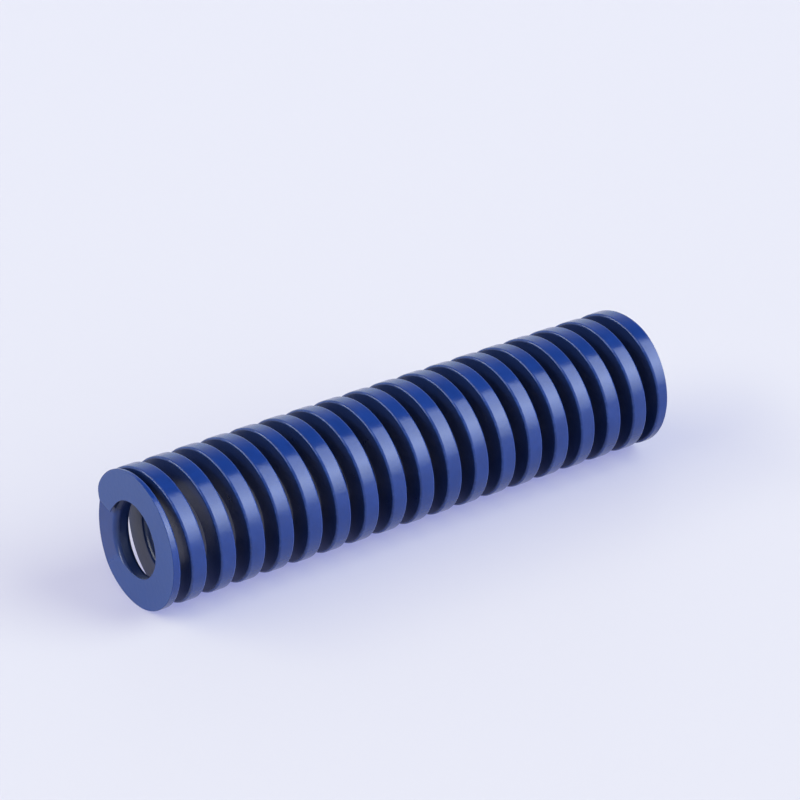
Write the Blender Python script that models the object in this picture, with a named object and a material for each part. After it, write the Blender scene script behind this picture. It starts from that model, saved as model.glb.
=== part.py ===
"""A medium-load die spring, 24.3 mm across and 102 mm long, lying on its side.

It is one flat steel wire, wound right-handed on edge, blue all over. Both ends are closed and ground flat.
A steel wire flexes evenly along its length. Here each turn is a solid of its own, and the turns slide
along the spring's axis towards each other, which closes the gaps between them as pressing the spring does.

The frame: X is the spring's axis, with the front end at -X. The spring rests on Z = 0 below its middle.
A place along the wire is given in turns from the front tip. A clock angle is counted in degrees clockwise
from the top, as seen from in front of the front end, so the wire runs clockwise and away: right-handed.
"""

import math

import bmesh
import bpy

MM = 0.001

# The spring as it is sold: a hole it drops into, a rod it slides on, and a free length.
FREE_LENGTH = 102 * MM
OUTER_DIAMETER = 24.3 * MM  # for a 25 mm hole
INNER_DIAMETER = 13.3 * MM  # for a 12.5 mm rod

# The wire and how it is wound.
TURNS = 19.1  # from tip to tip
WIRE_THICKNESS = 3.0 * MM  # along the spring's axis
TIP_THICKNESS = 0.3 * MM  # what grinding leaves at each tip
CLOSED_PITCH = 2.6 * MM  # of each end turn, before the wire opens out
CLOSED_TURNS = 188 / 360  # how far the closed pitch runs from each tip
OPENING_TURNS = 120 / 360  # over which the pitch grows to the open one
FRONT_TIP_CLOCK = -75.0

# How the wire is divided into turns that move.
FIRST_CUT = 375 / 360  # turns from the front tip, out of the way behind the spring
OPEN_COILS = 17
CUT_GAP = 2.2 / 360  # in turns: about 0.3 mm of wire

# The turns' outlines are polygons whose flats touch the true diameters, so the spring rests on a flat.
FACETS = 32
LEAST_STEP = 0.2 / FACETS  # turns: a shorter facet at a cut would be a sliver

BLUE_ENAMEL = (0.045, 0.095, 0.36, 1.0)
ENAMEL_ROUGHNESS = 0.28
SMOOTH_UP_TO = math.radians(30)

OUTER_RADIUS = OUTER_DIAMETER / 2
INNER_RADIUS = INNER_DIAMETER / 2
AXIS_HEIGHT = OUTER_RADIUS
FRONT_X = -FREE_LENGTH / 2
MIDDLE_OF_OPENING = CLOSED_TURNS + OPENING_TURNS / 2

# The open pitch that makes the two halves of the wire meet in the middle of the free length.
HALF_RISE = (FREE_LENGTH + WIRE_THICKNESS) / 2 - TIP_THICKNESS - CLOSED_PITCH * TURNS / 2
OPEN_PITCH = CLOSED_PITCH + HALF_RISE / (TURNS / 2 - MIDDLE_OF_OPENING)


def turns_at_open_pitch(turns_from_tip):
    """How many turns' worth of the extra, open pitch the wire has gained by here."""
    into_opening = turns_from_tip - CLOSED_TURNS
    if into_opening <= 0:
        return 0.0
    if into_opening < OPENING_TURNS:
        return into_opening**2 / (2 * OPENING_TURNS)
    return turns_from_tip - MIDDLE_OF_OPENING


def inboard_side(turns_from_tip):
    """Distance from a ground end to the side of the wire that faces the spring's middle."""
    extra_pitch = OPEN_PITCH - CLOSED_PITCH
    return TIP_THICKNESS + CLOSED_PITCH * turns_from_tip + extra_pitch * turns_at_open_pitch(turns_from_tip)


def wire_sides(turns):
    """The wire's two sides here, as distances from the front end, each ground off where it would pass an end."""
    if turns < TURNS / 2:
        rear_side = inboard_side(turns)
        front_side = rear_side - WIRE_THICKNESS
    else:
        front_side = FREE_LENGTH - inboard_side(TURNS - turns)
        rear_side = front_side + WIRE_THICKNESS
    return max(front_side, 0.0), min(rear_side, FREE_LENGTH)


def facet_reach(clock):
    """How much further out than a flat's middle the polygon's outline is at a clock angle."""
    facet = 360 / FACETS
    off_middle = (clock + facet / 2) % facet - facet / 2
    return 1 / math.cos(math.radians(off_middle))


def section_points(turns):
    """The wire's four corners here: front inner, rear inner, rear outer, front outer."""
    clock = FRONT_TIP_CLOCK + 360 * turns
    angle = math.radians(clock)
    reach = facet_reach(clock)
    front_side, rear_side = wire_sides(turns)

    def corner(side, radius):
        return (
            FRONT_X + side,
            -radius * reach * math.sin(angle),
            AXIS_HEIGHT + radius * reach * math.cos(angle),
        )

    return (
        corner(front_side, INNER_RADIUS),
        corner(rear_side, INNER_RADIUS),
        corner(rear_side, OUTER_RADIUS),
        corner(front_side, OUTER_RADIUS),
    )


def stations(start, end):
    """Places along the wire from start to end, in turns, at the corners of the polygon outline."""
    first_corner = 0.5 / FACETS - FRONT_TIP_CLOCK / 360
    places = [start]
    number = math.ceil((start - first_corner) * FACETS)
    while first_corner + number / FACETS < end - LEAST_STEP:
        place = first_corner + number / FACETS
        if place > start + LEAST_STEP:
            places.append(place)
        number += 1
    return [*places, end]


def add_section(bm, turns, origin_x):
    """A closed loop of four edges round the wire."""
    corners = [bm.verts.new((x - origin_x, y, z - AXIS_HEIGHT)) for x, y, z in section_points(turns)]
    return [bm.edges.new((corners[i - 1], corners[i])) for i in range(len(corners))]


def enamel(name):
    material = bpy.data.materials.new(name)
    material.use_nodes = True
    shader = material.node_tree.nodes["Principled BSDF"]
    shader.inputs["Base Color"].default_value = BLUE_ENAMEL
    shader.inputs["Roughness"].default_value = ENAMEL_ROUGHNESS
    shader.inputs["Metallic"].default_value = 0.0
    return material


def add_coil(name, start, end, parent):
    """One stretch of the wire as its own object, with its origin on the spring's axis beside its first end."""
    origin_x = FRONT_X + wire_sides(start)[0]
    bm = bmesh.new()
    sections = [add_section(bm, turns, origin_x) for turns in stations(start, end)]
    for section, following in zip(sections, sections[1:]):
        bmesh.ops.bridge_loops(bm, edges=section + following)
    for cap in (sections[0], sections[-1]):
        bmesh.ops.contextual_create(bm, geom=cap)
    bmesh.ops.recalc_face_normals(bm, faces=bm.faces)

    mesh = bpy.data.meshes.new(name)
    bm.to_mesh(mesh)
    bm.free()
    mesh.shade_smooth()
    mesh.set_sharp_from_angle(angle=SMOOTH_UP_TO)
    mesh.materials.append(enamel(name + "_enamel"))

    coil = bpy.data.objects.new(name, mesh)
    coil.parent = parent
    coil.location = (origin_x, 0.0, 0.0)
    bpy.context.scene.collection.objects.link(coil)
    return coil


def main():
    for old in list(bpy.data.objects):
        bpy.data.objects.remove(old)

    spring = bpy.data.objects.new("coil_spring", None)
    spring.location = (0.0, 0.0, AXIS_HEIGHT)
    bpy.context.scene.collection.objects.link(spring)

    cuts = [FIRST_CUT + coil for coil in range(OPEN_COILS + 1)]
    add_coil("front_end_coil", 0.0, cuts[0] - CUT_GAP / 2, spring)
    for number in range(OPEN_COILS):
        start = cuts[number] + CUT_GAP / 2
        end = cuts[number + 1] - CUT_GAP / 2
        add_coil(f"coil_{number + 1:02d}", start, end, spring)
    add_coil("rear_end_coil", cuts[-1] + CUT_GAP / 2, TURNS, spring)


main()
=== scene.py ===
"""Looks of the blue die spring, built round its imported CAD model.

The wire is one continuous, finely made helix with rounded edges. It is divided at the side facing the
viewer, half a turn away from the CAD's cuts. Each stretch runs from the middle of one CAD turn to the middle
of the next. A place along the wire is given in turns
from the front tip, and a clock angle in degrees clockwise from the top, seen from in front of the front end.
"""

import math

import bpy
import numpy as np
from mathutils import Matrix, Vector


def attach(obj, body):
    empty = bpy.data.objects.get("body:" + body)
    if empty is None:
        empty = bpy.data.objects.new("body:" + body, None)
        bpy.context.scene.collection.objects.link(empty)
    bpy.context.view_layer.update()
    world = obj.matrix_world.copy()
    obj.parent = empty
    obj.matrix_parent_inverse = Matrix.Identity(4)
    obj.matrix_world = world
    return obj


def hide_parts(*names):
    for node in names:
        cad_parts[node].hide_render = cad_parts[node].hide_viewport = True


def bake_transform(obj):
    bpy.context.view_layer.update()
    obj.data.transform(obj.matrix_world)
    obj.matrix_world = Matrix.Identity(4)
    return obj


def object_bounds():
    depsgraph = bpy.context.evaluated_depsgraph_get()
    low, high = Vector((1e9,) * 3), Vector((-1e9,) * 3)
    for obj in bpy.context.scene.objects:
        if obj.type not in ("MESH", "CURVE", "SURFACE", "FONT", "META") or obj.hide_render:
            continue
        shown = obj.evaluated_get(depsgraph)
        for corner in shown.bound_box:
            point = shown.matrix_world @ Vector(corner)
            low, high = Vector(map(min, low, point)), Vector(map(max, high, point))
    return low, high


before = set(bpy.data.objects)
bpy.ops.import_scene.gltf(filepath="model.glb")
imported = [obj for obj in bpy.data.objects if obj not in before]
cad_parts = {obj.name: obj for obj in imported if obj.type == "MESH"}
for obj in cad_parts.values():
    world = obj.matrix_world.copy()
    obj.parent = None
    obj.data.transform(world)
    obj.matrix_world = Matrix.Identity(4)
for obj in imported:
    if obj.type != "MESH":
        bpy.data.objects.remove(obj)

MM = 0.001
CAD_LOW, CAD_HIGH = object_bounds()

# The wire, as the CAD has it.
LENGTH = CAD_HIGH.x - CAD_LOW.x
OUTER_RADIUS = (CAD_HIGH.z - CAD_LOW.z) / 2
INNER_RADIUS = 6.65 * MM
MIDDLE_RADIUS = (INNER_RADIUS + OUTER_RADIUS) / 2
AXIS_HEIGHT = CAD_LOW.z + OUTER_RADIUS
TURNS = 19.1  # from tip to tip
WIRE_THICKNESS = 3.0 * MM  # along the spring's axis
TIP_THICKNESS = 0.3 * MM  # what grinding leaves at each tip
CLOSED_PITCH = 2.6 * MM  # of each end turn, before the wire opens out
CLOSED_TURNS = 188 / 360  # how far the closed pitch runs from each tip
OPENING_TURNS = 120 / 360  # over which the pitch grows to the open one
FRONT_TIP_CLOCK = -75.0
FIRST_CUT = 375 / 360  # where the CAD's front end turn stops, in turns from the front tip
OPEN_COILS = 17

MIDDLE_OF_OPENING = CLOSED_TURNS + OPENING_TURNS / 2
HALF_RISE = (LENGTH + WIRE_THICKNESS) / 2 - TIP_THICKNESS - CLOSED_PITCH * TURNS / 2
OPEN_PITCH = CLOSED_PITCH + HALF_RISE / (TURNS / 2 - MIDDLE_OF_OPENING)

# How finely the wire is made, and its rounding. The end faces are ground flat across the rounded corners.
STEPS_PER_TURN = 96
CORNER_STEPS = 7
SMALL_STEP = 1e-5  # turns, for the slope of the surface along the wire
OUTER_CORNER = 0.42 * MM
INNER_CORNER = 1.00 * MM
GROUND_EDGE = 0.10 * MM  # the radius that grinding leaves on an edge
THIN_SHARE = 0.42  # and where the wire is ground thin, at most this share of its thickness
FACES_END = 0.999  # a normal with this much of the axis in it is an end face's

# The tip: its blunt nose, and how its corners are dressed back.
NOSE = 0.45 * TIP_THICKNESS
NOSE_PLACES = (0, 0.05, 0.15, 0.3, 0.5, 0.75, 1)
OUTER_TRIM, OUTER_TRIM_TURNS = 1.25 * MM, 16 / 360
INNER_TRIM, INNER_TRIM_TURNS = 0.40 * MM, 25 / 360

# The flanks and the bore are painted darker, as painted shade between the turns and inside the coil.
INSIDE_SHADE_FADE = 1.6  # how steeply the painted shade fades out round the outer corners
COVERED_SHADE_FADE = 0.02  # over how many turns the painted shade comes in where an end turn starts to cover the next one

# The photograph's view, in outer radii and degrees.
VIEW_AZIMUTH, VIEW_ELEVATION = -35.44, 27.47
VIEW_DISTANCE = 53.5
LOOK_ALONG, LOOK_ABOVE = 4.392, 0.801
FOCAL_SHARE = 4.80325  # focal length over the picture's width
SENSOR_WIDTH = 36.0  # millimetres, as Blender counts it

FLOOR_HALF_WIDTH = 3.0

BODIES = ["front_end_coil", *(f"coil_{n:02d}" for n in range(1, OPEN_COILS + 1)), "rear_end_coil"]


# ---------------------------------------------------------------- the wire's shape


def inboard_side(turns_from_tip):
    """Distance from a ground end to the side of the wire that faces the spring's middle."""
    into_opening = turns_from_tip - CLOSED_TURNS
    opened = np.where(
        into_opening < OPENING_TURNS,
        np.maximum(into_opening, 0) ** 2 / (2 * OPENING_TURNS),
        turns_from_tip - MIDDLE_OF_OPENING,
    )
    return TIP_THICKNESS + CLOSED_PITCH * turns_from_tip + (OPEN_PITCH - CLOSED_PITCH) * opened


def wire_sides(turns):
    """The wire's front and rear sides before grinding, as distances from the front end."""
    from_front = inboard_side(turns)
    from_rear = LENGTH - inboard_side(TURNS - turns) + WIRE_THICKNESS
    rear_side = np.where(turns < TURNS / 2, from_front, from_rear)
    return rear_side - WIRE_THICKNESS, rear_side


def trimmed(from_tip, depth, length):
    """How far the tip's corner is dressed back at each distance from the tip."""
    return depth * np.clip(1 - from_tip / length, 0, 1) ** 2


def section_outline(turns):
    """The wire's rounded outline at each place: along the axis, out from it, and which way it faces."""
    front, rear = (side[:, None] for side in wire_sides(turns))
    from_tip = np.minimum(turns, TURNS - turns)[:, None]
    into_nose = NOSE - np.clip(from_tip * 2 * math.pi * MIDDLE_RADIUS, 0, NOSE)
    inset = NOSE - np.sqrt(NOSE**2 - into_nose**2)
    first, last = np.maximum(front, 0) + inset, np.minimum(rear, LENGTH) - inset
    edge = np.minimum(GROUND_EDGE, THIN_SHARE * (last - first))
    outside = OUTER_RADIUS - inset - trimmed(from_tip, OUTER_TRIM, OUTER_TRIM_TURNS) - edge
    inside = INNER_RADIUS + inset + trimmed(from_tip, INNER_TRIM, INNER_TRIM_TURNS) + edge

    along, out, facing = [], [], []
    for number, (at_rear, at_outside) in enumerate(((0, 1), (1, 1), (1, 0), (0, 0))):
        turned = math.pi - (number + np.linspace(0, 1, CORNER_STEPS + 1)) * math.pi / 2
        corner = OUTER_CORNER if at_outside else INNER_CORNER
        bend = corner - edge
        middle = rear - corner if at_rear else front + corner
        place = np.clip(middle + bend * np.cos(turned), first + edge, last - edge)
        into_corner = np.clip(np.maximum(front + corner - place, place - rear + corner), 0, bend)
        drop = bend - np.sqrt(bend**2 - into_corner**2)
        along.append(place + edge * np.cos(turned))
        out.append((outside - drop if at_outside else inside + drop) + edge * np.sin(turned))
        facing.append(turned)
    return np.hstack(along), np.hstack(out), np.concatenate(facing)


def wire_surface(turns):
    """The points and normals of the wire's skin, as arrays of place by outline point by XYZ."""
    along, out, facing = section_outline(turns)
    clock = np.radians(FRONT_TIP_CLOCK + 360 * turns)[:, None]
    outwards = np.stack([0 * clock, -np.sin(clock), np.cos(clock)], -1)
    onwards = np.stack([0 * clock, -np.cos(clock), -np.sin(clock)], -1)
    axis = np.array([1.0, 0.0, 0.0])
    foot = np.array([CAD_LOW.x, 0.0, AXIS_HEIGHT])
    points = foot + along[..., None] * axis + out[..., None] * outwards

    before, after = np.clip(turns - SMALL_STEP, 0, TURNS), np.clip(turns + SMALL_STEP, 0, TURNS)
    (along_1, out_1, _), (along_2, out_2, _) = section_outline(before), section_outline(after)
    lean = (along_2 - along_1) * np.cos(facing) + (out_2 - out_1) * np.sin(facing)
    lean = lean / (after - before)[:, None] / (2 * math.pi * out)
    normals = np.cos(facing)[None, :, None] * axis + np.sin(facing)[None, :, None] * outwards
    normals = normals - lean[..., None] * onwards
    return points, normals / np.linalg.norm(normals, axis=-1, keepdims=True)


def wire_places(start, end):
    """Places along a stretch of wire, closer together round its nose if it has one."""
    places = np.linspace(start, end, round((end - start) * STEPS_PER_TURN) + 1)
    nose = np.array(NOSE_PLACES) * NOSE / (2 * math.pi * MIDDLE_RADIUS)
    return np.unique(np.concatenate([
        places,
        nose if start == 0 else [],
        TURNS - nose if end == TURNS else [],
    ]))


def coat_and_shade_marks(turns):
    """Where the enamel differs, from 0 to 1: the outer corners, the ground ends, and the painted shade on
    the flanks and in the bore.
    """
    facing = section_outline(turns)[2]
    front, rear = (side[:, None] for side in wire_sides(turns))
    towards_rear = np.cos(facing)

    round_corner = np.tile(np.sin(math.pi * np.linspace(0, 1, CORNER_STEPS + 1)), 4)
    edge = np.tile(round_corner * (np.sin(facing) > 0), (len(turns), 1))

    ground_off = np.where(towards_rear < 0, -front, rear - LENGTH)
    ground = np.clip(ground_off / GROUND_EDGE, 0, 1) * (np.abs(towards_rear) > FACES_END)

    # painted shade: 1 on the flanks and in the bore, fading out round the outer corners; a flank facing the
    # nearer end gets it only where the turn before covers it
    outboard = np.clip(np.where(turns < TURNS / 2, -1, 1)[:, None] * towards_rear, 0, 1)
    covered = np.clip((np.minimum(turns, TURNS - turns) - 1) / COVERED_SHADE_FADE, 0, 1)[:, None]
    inside = np.clip(1 - INSIDE_SHADE_FADE * np.sin(facing), 0, 1) * (1 - ground) * (1 - outboard * (1 - covered))
    return {"edge": edge, "ground": ground, "inside": inside}


def wire_piece(name, start, end, material):
    """One stretch of the wire, and how far along it each point is, from 0 to 1.

    It has the exact normals of the whole wire. Only a real end of the wire is closed off.
    """
    turns = wire_places(start, end)
    points, normals = wire_surface(turns)
    count, around = points.shape[:2]
    number = np.arange(count * around).reshape(count, around)
    following = np.roll(number, -1, axis=1)
    faces = np.stack([number[:-1], number[1:], following[1:], following[:-1]], -1).reshape(-1, 4).tolist()
    if start == 0:
        faces.append(number[0][::-1].tolist())
    if end == TURNS:
        faces.append(number[-1].tolist())

    mesh = bpy.data.meshes.new(name)
    mesh.from_pydata(points.reshape(-1, 3).tolist(), [], faces)
    mesh.shade_smooth()
    mesh.normals_split_custom_set_from_vertices(normals.reshape(-1, 3).tolist())
    mesh.materials.append(material)
    for label, values in coat_and_shade_marks(turns).items():
        attribute = mesh.attributes.new(label, "FLOAT", "POINT")
        attribute.data.foreach_set("value", values.ravel().astype(np.float32))

    piece = bpy.data.objects.new(name, mesh)
    bpy.context.scene.collection.objects.link(piece)
    return piece, np.repeat((turns - start) / (end - start), around)


# ---------------------------------------------------------------- materials


class Nodes:
    """A short way to write a node tree."""

    def __init__(self, tree):
        self.tree = tree

    def add(self, kind, settings=None, **inputs):
        node = self.tree.nodes.new(kind)
        for key, value in (settings or {}).items():
            setattr(node, key, value)
        for key, value in inputs.items():
            self.put(node, key.replace("_", " "), value)
        return node

    def put(self, node, key, value):
        socket = node.inputs[key]
        if isinstance(value, bpy.types.NodeSocket):
            self.tree.links.new(value, socket)
        else:
            socket.default_value = value

    def ramp(self, factor, *stops):
        node = self.add("ShaderNodeValToRGB", Fac=factor)
        while len(node.color_ramp.elements) < len(stops):
            node.color_ramp.elements.new(1.0)
        for element, (position, colour) in zip(node.color_ramp.elements, stops):
            element.position, element.color = position, (*colour, 1)
        return node.outputs["Color"]

    def mask(self, value, low, high):
        """0 below low and 1 above high, smoothly between, or the other way round if low is above high."""
        node = self.add("ShaderNodeMapRange", {"interpolation_type": "SMOOTHSTEP"}, Value=value)
        flip = low > high
        self.put(node, "From Min", min(low, high))
        self.put(node, "From Max", max(low, high))
        self.put(node, "To Min", 1.0 if flip else 0.0)
        self.put(node, "To Max", 0.0 if flip else 1.0)
        return node.outputs["Result"]

    def maths(self, operation, *values):
        node = self.add("ShaderNodeMath", {"operation": operation})
        for number, value in enumerate(values):
            self.put(node, number, value)
        return node.outputs[0]

    def product(self, first, *others):
        for other in others:
            first = self.maths("MULTIPLY", first, other)
        return first

    def attribute(self, name):
        return self.add("ShaderNodeAttribute", {"attribute_name": name}).outputs["Fac"]

    def noise(self, place, scale, detail, roughness=0.5):
        node = self.add("ShaderNodeTexNoise", Vector=place, Scale=scale, Detail=detail, Roughness=roughness)
        return node.outputs["Fac"]

    def mix(self, factor, first, second):
        node = self.add("ShaderNodeMix", {"data_type": "RGBA"})
        for key, value in ((0, factor), (6, first), (7, second)):
            self.put(node, key, value)
        return node.outputs[2]


def blue_enamel():
    """Glossy, slightly uneven blue enamel: orange peel, worn edges, painted shade on the flanks and in the
    bore, duller ends.
    """
    deep_blue, light_blue = (0.0042, 0.0255, 0.137), (0.0062, 0.0320, 0.166)
    # a dark navy painted on the flanks and in the bore as shade between the turns
    painted_shade_navy = (0.0075, 0.0130, 0.042, 1)
    worn_blue = (0.026, 0.066, 0.25, 1)
    ground_blue = (0.014, 0.058, 0.215, 1)
    cloud_scale, grain_scale = 240.0, 1300.0  # to the metre
    dulling = 0.12

    material = bpy.data.materials.new("blue_enamel")
    material.use_nodes = True
    nodes = Nodes(material.node_tree)
    shader = material.node_tree.nodes["Principled BSDF"]
    place = nodes.add("ShaderNodeTexCoord").outputs["Object"]
    edge, ground, inside = (nodes.attribute(name) for name in ("edge", "ground", "inside"))

    clouds = nodes.noise(place, scale=cloud_scale, detail=4.0, roughness=0.6)
    wear = nodes.mask(nodes.noise(place, scale=grain_scale, detail=3.0), 0.45, 0.68)
    colour = nodes.ramp(clouds, (0.35, deep_blue), (0.70, light_blue))
    # painted shade: darkens the flanks and the bore towards the dark navy
    colour = nodes.mix(nodes.product(inside, 0.75), colour, painted_shade_navy)
    colour = nodes.mix(nodes.product(edge, wear, 0.45), colour, worn_blue)
    colour = nodes.mix(nodes.product(ground, 0.5), colour, ground_blue)
    nodes.put(shader, "Base Color", colour)

    roughness = nodes.add("ShaderNodeMapRange", Value=clouds, To_Min=0.13, To_Max=0.21).outputs["Result"]
    for duller_part in (ground, inside):
        roughness = nodes.maths("MULTIPLY_ADD", duller_part, dulling, roughness)
    nodes.put(shader, "Roughness", roughness)
    nodes.put(shader, "Specular IOR Level", 0.42)

    orange_peel = nodes.noise(place, scale=grain_scale, detail=2.0)
    bump = nodes.add("ShaderNodeBump", Height=orange_peel, Strength=0.35, Distance=0.05 * MM)
    nodes.put(shader, "Normal", bump.outputs["Normal"])
    return material


def pale_floor():
    """A pale light table: acrylic that gives off a little bluish light of its own."""
    material = bpy.data.materials.new("studio_floor")
    material.use_nodes = True
    shader = material.node_tree.nodes["Principled BSDF"]
    shader.inputs["Base Color"].default_value = (0.445, 0.405, 0.240, 1)
    shader.inputs["Roughness"].default_value = 0.55
    shader.inputs["Specular IOR Level"].default_value = 0.2
    shader.inputs["Emission Color"].default_value = (0.400, 0.432, 1.0, 1)
    shader.inputs["Emission Strength"].default_value = 0.53
    return material


# ---------------------------------------------------------------- the set


def make_camera():
    azimuth, elevation = math.radians(VIEW_AZIMUTH), math.radians(VIEW_ELEVATION)
    back = Vector((
        math.sin(azimuth) * math.cos(elevation),
        -math.cos(azimuth) * math.cos(elevation),
        math.sin(elevation),
    ))
    target = Vector((CAD_LOW.x + LOOK_ALONG * OUTER_RADIUS, 0, AXIS_HEIGHT + LOOK_ABOVE * OUTER_RADIUS))
    data = bpy.data.cameras.new("camera")
    data.sensor_width = SENSOR_WIDTH
    data.lens = data.sensor_width * FOCAL_SHARE
    data.clip_start, data.clip_end = 0.01, 20.0
    camera = bpy.data.objects.new("camera", data)
    camera.location = target + back * VIEW_DISTANCE * OUTER_RADIUS
    camera.rotation_mode = "QUATERNION"
    camera.rotation_quaternion = (-back).to_track_quat("-Z", "Y")
    bpy.context.scene.collection.objects.link(camera)
    bpy.context.scene.camera = camera


def make_floor():
    half = FLOOR_HALF_WIDTH
    mesh = bpy.data.meshes.new("studio_floor")
    corners = [(-half, -half, 0), (half, -half, 0), (half, half, 0), (-half, half, 0)]
    mesh.from_pydata(corners, [], [(0, 1, 2, 3)])
    mesh.materials.append(pale_floor())
    floor = bpy.data.objects.new("studio_floor", mesh)
    floor.location.z = CAD_LOW.z
    bpy.context.scene.collection.objects.link(floor)


def make_world():
    """A pale tent with a dim roof, a tall window of light at the front right and a low strip at the left.

    All of it depends only on the direction from which the light comes.
    """
    window_light = (6.9, 8.0, 10.1, 1)
    strip_light = (9.4, 9.8, 10.0, 1)
    roof_light = (0.57, 0.58, 0.57, 1)
    towards_strip = (-0.914, 0.407, 0.0)

    world = bpy.data.worlds.new("studio")
    bpy.context.scene.world = world
    world.use_nodes = True
    nodes = Nodes(world.node_tree)
    towards = nodes.add("ShaderNodeTexCoord").outputs["Generated"]
    x, y, z = nodes.add("ShaderNodeSeparateXYZ", Vector=towards).outputs

    tent = nodes.ramp(
        z,
        (0.28, (0.88, 1.00, 1.08)),
        (0.46, (0.68, 0.70, 0.79)),
        (0.60, (0.48, 0.50, 0.55)),
        (0.70, (0.27, 0.28, 0.32)),
        (0.78, (0.13, 0.14, 0.16)),
    )
    roof = nodes.product(nodes.mask(x, 0.25, 0.0), nodes.mask(z, 0.62, 0.80))
    window = nodes.product(
        nodes.mask(y, -0.08, -0.20),
        nodes.mask(x, 0.16, 0.36),
        nodes.mask(x, 0.86, 0.68),
        nodes.ramp(z, (0.0, (0.16, 0.16, 0.16)), (0.5, (1, 1, 1)), (0.85, (0.45, 0.45, 0.45))),
    )
    along_strip = nodes.add("ShaderNodeVectorMath", {"operation": "DOT_PRODUCT"})
    nodes.put(along_strip, 0, towards)
    nodes.put(along_strip, 1, towards_strip)
    strip = nodes.product(
        nodes.mask(along_strip.outputs["Value"], 0.60, 0.70),
        nodes.mask(z, 0.44, 0.50),
        nodes.mask(z, 0.68, 0.62),
    )

    light = tent
    for share, colour in ((roof, roof_light), (window, window_light), (strip, strip_light)):
        light = nodes.mix(share, light, colour)
    nodes.put(world.node_tree.nodes["Background"], "Color", light)


def make_set():
    make_camera()
    make_floor()
    make_world()
    bpy.context.scene.view_settings.view_transform = "Standard"


# ---------------------------------------------------------------- the spring


def make_spring():
    """The wire's pieces. The end ones ride on their turns, the others run from the middle of one turn to the
    middle of the next.
    """
    enamel = blue_enamel()
    first_middle = FIRST_CUT - 0.5
    last_middle = first_middle + len(BODIES) - 1

    def finish(piece, *nodes):
        if nodes:
            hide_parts(*nodes)

    piece, _ = wire_piece("front_wire_end", 0.0, first_middle, enamel)
    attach(piece, BODIES[0])
    finish(piece, BODIES[0])
    for number, (before, after) in enumerate(zip(BODIES, BODIES[1:])):
        start = first_middle + number
        piece, share = wire_piece(f"wire_turn_{number + 1:02d}", start, start + 1, enamel)
        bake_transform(piece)
        finish(piece, *([after] if after != BODIES[-1] else []))
    piece, _ = wire_piece("rear_wire_end", last_middle, TURNS, enamel)
    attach(piece, BODIES[-1])
    finish(piece, BODIES[-1])


make_set()
make_spring()
